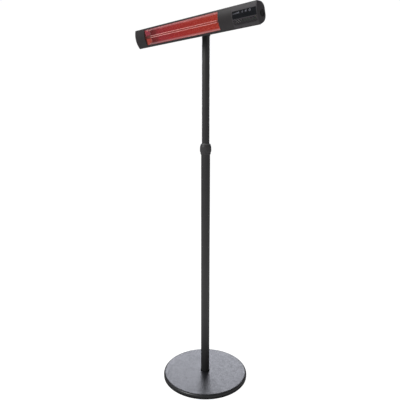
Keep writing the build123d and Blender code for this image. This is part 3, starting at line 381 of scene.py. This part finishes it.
def quartz_glass():
    """Clear quartz whose rims carry a painted highlight, as emission set by Layer Weight, and a middle
    that shows what is behind.
    """
    shader = Shader("quartz_glass", (0.72, 0.42, 0.40, 1), 0.06)
    shader.bsdf.inputs["IOR"].default_value = 1.46
    shader.bsdf.inputs["Transmission Weight"].default_value = 1.0
    shader.bsdf.inputs["Specular IOR Level"].default_value = 0.15
    shader.bump(shader.noise(500.0, 2.0), 0.00002)
    weight = shader.nodes.new("ShaderNodeLayerWeight")
    weight.inputs["Blend"].default_value = 0.35
    # Painted highlight on the tube's rims
    rim = shader.ramp(weight.outputs["Facing"], [(0.4, (0.0, 0.0, 0.0)), (0.6, (1.0, 0.66, 0.62))])
    shader.link(rim, shader.bsdf.inputs["Emission Color"])
    shader.bsdf.inputs["Emission Strength"].default_value = 1.35
    return shader


def guard_metal(name, color, strength):
    """Drawn guard wire with the lamp's red glow painted on as emission; the given colour is tinted by
    that painted glow too.
    """
    shader = Shader(name, color, 0.3, 1.0)
    shader.roughness_between(shader.noise(200.0), 0.22, 0.4)
    shader.bump(shader.noise(700.0), 0.00003)
    shader.link(glow_along(shader), shader.bsdf.inputs["Emission Color"])
    shader.bsdf.inputs["Emission Strength"].default_value = strength
    return shader


def display_gloss():
    shader = Shader("display_gloss", (0.006, 0.007, 0.010, 1), 0.12)
    shader.bsdf.inputs["Specular IOR Level"].default_value = 0.2
    shader.color_between(shader.noise(30.0), (0.004, 0.005, 0.007), (0.007, 0.008, 0.010))
    shader.roughness_between(shader.noise(80.0), 0.08, 0.18)
    return shader


def mark_light():
    shader = Shader("mark_light", srgb(96, 96, 104), 0.4)
    tone = shader.noise(90.0)
    shader.link(shader.ramp(tone, [(0.3, srgb(96, 96, 106)), (0.7, srgb(128, 128, 138))]),
                shader.bsdf.inputs["Emission Color"])
    shader.bsdf.inputs["Emission Strength"].default_value = 0.32
    return shader


def cast_iron():
    shader = Shader("cast_iron", (0.06, 0.06, 0.06, 1), 0.75)
    shader.color_between(shader.noise(80.0, 5.0), (0.045, 0.045, 0.045), (0.085, 0.08, 0.078))
    shader.bump(shader.noise(350.0, 6.0, 0.7), 0.0003)
    return shader


def circuit_board():
    shader = Shader("circuit_board", (0.02, 0.12, 0.05, 1), 0.3)
    traces = shader.nodes.new("ShaderNodeTexBrick")
    traces.inputs["Scale"].default_value = 180.0
    traces.inputs["Color1"].default_value = (0.018, 0.12, 0.05, 1)
    traces.inputs["Color2"].default_value = (0.03, 0.17, 0.07, 1)
    traces.inputs["Mortar"].default_value = (0.08, 0.22, 0.08, 1)
    shader.link(shader.mapped((1, 1, 1)), traces.inputs["Vector"])
    shader.link(traces.outputs["Color"], shader.bsdf.inputs["Base Color"])
    shader.bump(traces.outputs["Fac"], 0.00003)
    return shader


def make_materials():
    shaders = {
        "housing_paint": powder_coat("housing_paint", HOUSING, 0.46, 0.5),
        "bracket_paint": powder_coat("bracket_paint", HOUSING, 0.5, 0.5),
        "tube_paint": powder_coat("tube_paint", POLE, 0.4, 0.55),
        "base_paint": powder_coat("base_paint", BASE, 0.36, 0.7),
        "cap_plastic": moulded_plastic("cap_plastic", (0.043, 0.039, 0.043, 1), 0.5),
        "fascia_plastic": moulded_plastic("fascia_plastic", (0.046, 0.042, 0.046, 1), 0.5),
        "collar_plastic": moulded_plastic("collar_plastic", (0.042, 0.041, 0.043, 1), 0.45),
        "collar_ring_plastic": moulded_plastic("collar_ring_plastic", (0.09, 0.09, 0.093, 1), 0.4),
        "tray_plastic": moulded_plastic("tray_plastic", (0.006, 0.006, 0.007, 1), 0.6),
        "knob_plastic": moulded_plastic("knob_plastic", (0.022, 0.022, 0.024, 1), 0.55),
        "gland_plastic": moulded_plastic("gland_plastic", (0.018, 0.018, 0.019, 1), 0.5),
        "switch_black": moulded_plastic("switch_black", (0.010, 0.010, 0.011, 1), 0.3),
        "component_black": moulded_plastic("component_black", (0.015, 0.015, 0.017, 1), 0.4),
        "terminal_white": moulded_plastic("terminal_white", (0.66, 0.66, 0.6, 1), 0.45),
        "bush_plastic": moulded_plastic("bush_plastic", (0.5, 0.5, 0.47, 1), 0.4),
        "ceramic": moulded_plastic("ceramic", (0.13, 0.05, 0.045, 1), 0.75, 700.0),
        "gasket_rubber": rubber("gasket_rubber", (0.012, 0.012, 0.012, 1)),
        "foot_rubber": rubber("foot_rubber", (0.014, 0.014, 0.014, 1)),
        "lead_sleeve": rubber("lead_sleeve", (0.16, 0.13, 0.10, 1)),
        "wire_brown": rubber("wire_brown", (0.14, 0.05, 0.02, 1)),
        "spring_steel": bare_metal("spring_steel", (0.6, 0.6, 0.6, 1), 0.28),
        "sheet_steel": bare_metal("sheet_steel", (0.5, 0.5, 0.51, 1), 0.4, (1, 30, 30)),
        "fastener_steel": bare_metal("fastener_steel", (0.2, 0.2, 0.21, 1), 0.4, (20, 20, 20)),
        "brass": bare_metal("brass", (0.72, 0.52, 0.22, 1), 0.3, (20, 20, 20)),
        "reflector_mirror": reflector_metal(),
        "reflector_end": reflector_end_metal(),
        # The guard's base colours are tinted by painted lamp glow: red on the wires, a pale pink
        # painted highlight on the rails
        "guard_wire": guard_metal("guard_metal", (0.42, 0.15, 0.13, 1), 0.6),
        "guard_rail": guard_metal("guard_rail_metal", (0.85, 0.74, 0.75, 1), 0.3),
        "quartz": quartz_glass(),
        "filament": glowing_coil(),
        "display_glass": display_gloss(),
        "cast_weight": cast_iron(),
        "board_green": circuit_board(),
        "display_mark": mark_light(),
    }
    return {name: shader.material for name, shader in shaders.items()}


MATERIALS = make_materials()


def paint(piece, slot):
    piece.data.materials.clear()
    piece.data.materials.append(MATERIALS[slot])
    return piece


def paint_cad_nodes():
    """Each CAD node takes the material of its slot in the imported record."""
    for part in frame["record"]["subparts"]:
        paint(NODES[part["node"]], part["material_slot"])
    for name in ("reflector_end_left", "reflector_end_right"):
        paint(NODES[name], "reflector_end")


# ---------------------------------------------------------------- lamp side

def guard_wires():
    """Upright guard wires that follow the front's curve and hook round their rails."""
    path_r = FRONT_R - COVER_WALL - WIRE_R - WIRE_GAP
    hook_r = WIRE_R + RAIL_R - WIRE_SINK
    low, high = WINDOW["low"] + RAIL_INSET, WINDOW["high"] - RAIL_INSET
    start, end = math.asin(low / path_r), math.asin(high / path_r)
    steps, hook_steps = 16, 7

    def rail_depth(z):
        return FRONT_CENTRE - math.sqrt(path_r**2 - z**2) + hook_r

    section = []
    for step in range(steps + 1):
        angle = start + (end - start) * step / steps
        section.append((FRONT_CENTRE - path_r * math.cos(angle), path_r * math.sin(angle)))
    for sign, z in ((-1, low), (1, high)):
        hook = []
        for step in range(1, hook_steps + 1):
            turn = HOOK_TURN * step / hook_steps
            hook.append((rail_depth(z) - hook_r * math.cos(turn), z + sign * hook_r * math.sin(turn)))
        section = hook[::-1] + section if sign < 0 else section + hook

    vertices, faces = [], []
    count = int((WINDOW["right"] - WINDOW["left"]) / WIRE_PITCH) + 1
    first = (WINDOW["left"] + WINDOW["right"]) / 2 - (count - 1) * WIRE_PITCH / 2
    for index in range(count):
        x = first + index * WIRE_PITCH
        tube_mesh([head_point(x, y, z) for y, z in section], WIRE_R * MM, 8, vertices, faces)
    ends = (WINDOW["left"] - RAIL_OVERRUN, WINDOW["right"] + RAIL_OVERRUN)
    for z in (low, high):
        rail = [head_point(x, rail_depth(z), z) for x in ends]
        tube_mesh(rail, RAIL_R * MM, 12, vertices, faces)
    piece = add_mesh("guard_wires", vertices, faces, "head")
    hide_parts("guard_grille")
    paint(piece, "guard_wire")
    piece.data.materials.append(MATERIALS["guard_rail"])
    for face in piece.data.polygons:
        z = (face.center - HEAD_ORIGIN).dot(HEIGHT) / MM
        face.material_index = int(not low < z < high)
    return piece


def reflector_rows(steps):
    """The sheet's section from the upper lip to the lower one, as (depth, height) points."""
    rows = []
    for lip in REFLECTOR_EDGES:
        deep = (lip + LAMP_Z) / 2
        trough = []
        for step in range(steps + 1):
            z = lip + (LAMP_Z - lip) * step / steps
            share = (z - deep) / (lip - deep)
            rise = REFLECTOR_DEEP - (REFLECTOR_LIP if share > 0 else REFLECTOR_RIDGE)
            trough.append((REFLECTOR_DEEP - rise * share**2, z))
        rows.append(trough)
    return rows[0] + rows[1][-2::-1]


def reflector_half(y, inset):
    """Half of the sheet's length at a depth, between its leaning end plates."""
    return REFLECTOR_MOUTH_HALF - inset - REFLECTOR_LEAN * (y - REFLECTOR_LIP)


def reflector_beads():
    """Rolled edge of the sheet against each leaning end plate."""
    vertices, faces = [], []
    for side in (-1, 1):
        points = []
        for y, z in reflector_rows(12):
            x = LAMP_MIDDLE_X + side * reflector_half(y, BEAD_R)
            points.append(head_point(x, y - BEAD_R, z))
        tube_mesh(points, BEAD_R * MM, 8, vertices, faces)
    piece = add_mesh("reflector_beads", vertices, faces, "head")
    # The beads carry the rail's pale painted highlight and painted glow
    return paint(piece, "guard_rail")


def reflector_sheet():
    """Two troughs with a ridge between them, pressed with fine upright ribs, as one closed sheet."""
    profile = reflector_rows(24)
    per_rib = 8
    columns = round(2 * REFLECTOR_MOUTH_HALF / RIB_PITCH * per_rib)
    vertices, faces = [], []
    for skin in (0, REFLECTOR_SHEET):
        for column in range(columns + 1):
            share = 2 * column / columns - 1
            wave = RIB_WAVE * math.cos(math.tau * column / per_rib)
            for y, z in profile:
                x = LAMP_MIDDLE_X + share * reflector_half(y, REFLECTOR_END_GAP)
                depth = y + skin + wave * min(1.0, (y - REFLECTOR_LIP) / RIB_FADE)
                vertices.append(head_point(x, depth, z))
    count = len(profile)
    back = (columns + 1) * count
    for column in range(columns):
        for row in range(count - 1):
            a = column * count + row
            faces.append((a, a + 1, a + count + 1, a + count))
            faces.append((back + a, back + a + count, back + a + count + 1, back + a + 1))
    for column in range(columns):
        for row, flip in ((0, False), (count - 1, True)):
            a = column * count + row
            quad = (a, a + count, back + a + count, back + a)
            faces.append(quad[::-1] if flip else quad)
    for column, flip in ((0, True), (columns, False)):
        for row in range(count - 1):
            a = column * count + row
            quad = (a, a + 1, back + a + 1, back + a)
            faces.append(quad[::-1] if flip else quad)
    piece = add_mesh("reflector_sheet", vertices, faces, "head")
    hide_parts("reflector")
    return paint(piece, "reflector_mirror")


def filament_coil():
    """Glowing spiral in the quartz tube, with straight tails into the ceramic ends."""
    left = LAMP_MIDDLE_X - LAMP_HALF + COIL_INSET
    right = LAMP_MIDDLE_X + LAMP_HALF - COIL_INSET
    tail, lead_in, turn_steps = 24, 2, 12
    reach = COIL_R - COIL_WIRE_R
    turns = int((right - left) / COIL_PITCH)
    points = [head_point(x, LAMP_Y, LAMP_Z) for x in (left - tail, left - lead_in)]
    for step in range(turns * turn_steps + 1):
        angle = math.tau * step / turn_steps
        x = left + COIL_PITCH * step / turn_steps
        points.append(head_point(x, LAMP_Y + reach * math.cos(angle), LAMP_Z + reach * math.sin(angle)))
    points += [head_point(x, LAMP_Y, LAMP_Z) for x in (right + lead_in, right + tail)]
    vertices, faces = [], []
    tube_mesh(points, COIL_WIRE_R * MM, 6, vertices, faces)
    piece = add_mesh("filament_coil", vertices, faces, "head")
    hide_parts("lamp_filament")
    return paint(piece, "filament")


# ---------------------------------------------------------------- display marks

SIGN_PROUD = 0.12
SIGN_THICKNESS = 0.1
SIGN_Z = 19.0
BAR_COUNT = 7
BAR_X = 298.5
BAR_PITCH = 5.6
BAR_LOW = 15.0
BAR_STEP = 0.75
TIMER_X = 352.0
HEAT_X = 371.0
POWER_X = 394.0


def stroke(points, width, vertices, faces):
    """Flat printed line through (x, z) points on the display's curve, added to the two lists."""
    inset = LENS_INSET - SIGN_PROUD
    start = len(vertices)
    for index, (x, z) in enumerate(points):
        after = points[min(index + 1, len(points) - 1)]
        before = points[max(index - 1, 0)]
        run = Vector((after[0] - before[0], after[1] - before[1])).normalized()
        for side in (1, -1):
            px = x - run.y * width / 2 * side
            pz = z + run.x * width / 2 * side
            for sink in (0.0, SIGN_THICKNESS):
                vertices.append(head_point(px, front_depth(pz, inset + sink), pz))
    for index in range(len(points) - 1):
        a = start + index * 4
        b = a + 4
        faces.append((a, b, b + 2, a + 2))
        faces.append((a + 1, a + 3, b + 3, b + 1))
        faces.append((a, a + 1, b + 1, b))
        faces.append((a + 2, b + 2, b + 3, a + 3))
    last = start + (len(points) - 1) * 4
    faces.append((start, start + 2, start + 3, start + 1))
    faces.append((last, last + 1, last + 3, last + 2))


def arc_points(x, z, radius, first, last, steps=24):
    turns = [math.radians(first + (last - first) * step / steps) for step in range(steps + 1)]
    return [(x + radius * math.cos(turn), z + radius * math.sin(turn)) for turn in turns]


def display_marks():
    """Generic signs on the display: level bars, a timer dial, heat waves and a power sign."""
    vertices, faces = [], []
    for index in range(BAR_COUNT):
        x = BAR_X + index * BAR_PITCH
        stroke([(x, BAR_LOW), (x, BAR_LOW + 2.0 + index * BAR_STEP)], 2.6, vertices, faces)
    stroke(arc_points(TIMER_X, SIGN_Z, 3.2, 0, 360), 0.9, vertices, faces)
    for hand_end in ((TIMER_X, SIGN_Z + 2.2), (TIMER_X + 1.8, SIGN_Z)):
        stroke([(TIMER_X, SIGN_Z), hand_end], 0.8, vertices, faces)
    for shift in (-3.2, 0, 3.2):
        wave = [(HEAT_X + shift + 0.9 * math.sin(step * 0.8), 15.4 + step * 0.6) for step in range(13)]
        stroke(wave, 1.3, vertices, faces)
    stroke(arc_points(POWER_X, SIGN_Z, 4.2, 120, 420), 1.5, vertices, faces)
    stroke([(POWER_X, SIGN_Z + 1.0), (POWER_X, SIGN_Z + 5.4)], 1.5, vertices, faces)
    piece = add_mesh("display_marks", vertices, faces, "head", smooth=False)
    return paint(piece, "display_mark")


# ---------------------------------------------------------------- stage, light, camera

BACKDROP = 1.02
HORIZON = 0.6
OVERHEAD = 0.16
OVERHEAD_FROM = 0.5
FAR_WALL = 0.3
FLOOR_HALF = 30.0
FLOOR_REACH = 12.0
# The floor's shade in the object's light, by distance from the pole: (metres, shade)
FLOOR_SHADES = [(0.25, 0.02), (0.45, 0.35), (0.8, 0.75), (2.0, 0.75), (5.0, 0.4), (12.0, 0.35)]
# The room's bright side is fixed towards where the photo was taken from, whatever the view
OPEN_SIDE = (0.7, -0.714, 0.0)
FAR_WALL_EDGE = -0.65
OPEN_SIDE_EDGE = -0.05
CAMERA_PLACE = (1.603, -1.693, 1.486)
CAMERA_AIM = (-0.6867, 0.7061, -0.1731)
CAMERA_LENS = 37.62


def white_to_camera(tree, white, seen_by_object):
    """White to the camera, and another strength in the object's light and reflections."""
    path = tree.nodes.new("ShaderNodeLightPath")
    pick = tree.nodes.new("ShaderNodeMix")
    pick.inputs["B"].default_value = white
    tree.links.new(path.outputs["Is Camera Ray"], pick.inputs["Factor"])
    tree.links.new(seen_by_object, pick.inputs["A"])
    return pick.outputs["Result"]


def times(tree, value, factor):
    """Product of a socket and a factor, which is a plain number or another socket."""
    product = tree.nodes.new("ShaderNodeMath")
    product.operation = "MULTIPLY"
    tree.links.new(value, product.inputs[0])
    if isinstance(factor, float):
        product.inputs[1].default_value = factor
    else:
        tree.links.new(factor, product.inputs[1])
    return product.outputs["Value"]


def vector_math(tree, operation, vector, other=None):
    node = tree.nodes.new("ShaderNodeVectorMath")
    node.operation = operation
    tree.links.new(vector, node.inputs[0])
    if other is not None:
        node.inputs[1].default_value = other
    return node


def open_side(tree, vector):
    """1 towards the studio's open side and round its flanks, down to the far wall's share behind."""
    flat = vector_math(tree, "MULTIPLY", vector, (1, 1, 0)).outputs["Vector"]
    level = vector_math(tree, "NORMALIZE", flat).outputs["Vector"]
    towards = vector_math(tree, "DOT_PRODUCT", level, OPEN_SIDE).outputs["Value"]
    fade = tree.nodes.new("ShaderNodeMapRange")
    fade.interpolation_type = "SMOOTHSTEP"
    fade.inputs["From Min"].default_value = FAR_WALL_EDGE
    fade.inputs["From Max"].default_value = OPEN_SIDE_EDGE
    fade.inputs["To Min"].default_value = FAR_WALL
    tree.links.new(towards, fade.inputs["Value"])
    return fade.outputs["Result"]


def add_stage():
    """Floor that is white to the camera and shaded where the object is lit by it or mirrors it."""
    signs = ((-1, -1), (1, -1), (1, 1), (-1, 1))
    corners = [(x * FLOOR_HALF, y * FLOOR_HALF, 0) for x, y in signs]
    mesh = bpy.data.meshes.new("floor")
    mesh.from_pydata(corners, [], [(0, 1, 2, 3)])
    floor = bpy.data.objects.new("floor", mesh)
    bpy.context.scene.collection.objects.link(floor)
    shader = Shader("floor_paint", (0.2, 0.2, 0.2, 1), 0.9)
    shader.bsdf.inputs["Specular IOR Level"].default_value = 0.0
    shader.bsdf.inputs["Emission Color"].default_value = (1, 1, 1, 1)
    place = shader.coords.outputs["Object"]
    share = shader.nodes.new("ShaderNodeMath")
    share.operation = "DIVIDE"
    share.inputs[1].default_value = FLOOR_REACH
    shader.link(vector_math(shader.tree, "LENGTH", place).outputs["Value"], share.inputs[0])
    stops = [(radius / FLOOR_REACH, (shade, shade, shade)) for radius, shade in FLOOR_SHADES]
    near = times(shader.tree, shader.ramp(share.outputs["Value"], stops), open_side(shader.tree, place))
    glow = white_to_camera(shader.tree, BACKDROP, near)
    shader.link(glow, shader.bsdf.inputs["Emission Strength"])
    floor.data.materials.append(shader.material)


def add_world():
    """Studio surround: white to the camera, a grey room in the object's light and reflections."""
    world = bpy.data.worlds.new("studio")
    world.use_nodes = True
    tree = world.node_tree
    coords = tree.nodes.new("ShaderNodeTexCoord")
    split = tree.nodes.new("ShaderNodeSeparateXYZ")
    tree.links.new(coords.outputs["Generated"], split.inputs["Vector"])
    wall = times(tree, open_side(tree, coords.outputs["Generated"]), HORIZON)
    fade = tree.nodes.new("ShaderNodeMapRange")
    fade.interpolation_type = "SMOOTHSTEP"
    fade.inputs["From Max"].default_value = OVERHEAD_FROM
    tree.links.new(split.outputs["Z"], fade.inputs["Value"])
    room = tree.nodes.new("ShaderNodeMix")
    room.inputs["B"].default_value = OVERHEAD
    tree.links.new(fade.outputs["Result"], room.inputs["Factor"])
    tree.links.new(wall, room.inputs["A"])
    background = tree.nodes["Background"]
    background.inputs["Color"].default_value = (1, 1, 1, 1)
    strength = white_to_camera(tree, BACKDROP, room.outputs["Result"])
    tree.links.new(strength, background.inputs["Strength"])
    bpy.context.scene.world = world


def add_area_light(name, place, target, size, radiance, color=(1, 1, 1)):
    """Rectangular panel that faces its target, with the same radiance whatever its size."""
    data = bpy.data.lights.new(name, "AREA")
    data.color = color
    data.shape = "RECTANGLE"
    data.size, data.size_y = size
    data.energy = radiance * math.pi * size[0] * size[1]
    lamp = bpy.data.objects.new(name, data)
    lamp.location = place
    lamp.rotation_mode = "QUATERNION"
    lamp.rotation_quaternion = (Vector(target) - Vector(place)).to_track_quat("-Z", "Y")
    bpy.context.scene.collection.objects.link(lamp)
    return lamp


def add_lights():
    """A cool panel behind, which the base's top mirrors, and a key light above, in front."""
    add_area_light(
        "back_panel", place=(-2.37, 2.44, 2.12), target=(0, 0, 0), size=(3.4, 1.5), radiance=5.6,
        color=(0.95, 0.97, 1.08),
    )
    add_area_light("key", place=(-1.0, -3.3, 3.9), target=(0, 0, 1.4), size=(1.6, 1.6), radiance=13.0)


def add_camera():
    data = bpy.data.cameras.new("camera")
    data.sensor_width = 36.0
    data.lens = CAMERA_LENS
    camera = bpy.data.objects.new("camera", data)
    camera.location = CAMERA_PLACE
    camera.rotation_mode = "QUATERNION"
    camera.rotation_quaternion = Vector(CAMERA_AIM).to_track_quat("-Z", "Y")
    bpy.context.scene.collection.objects.link(camera)
    bpy.context.scene.camera = camera


paint_cad_nodes()
guard_wires()
reflector_sheet()
reflector_beads()
filament_coil()
display_marks()
add_stage()
add_world()
add_lights()
add_camera()
bpy.context.scene.view_settings.view_transform = "Standard"
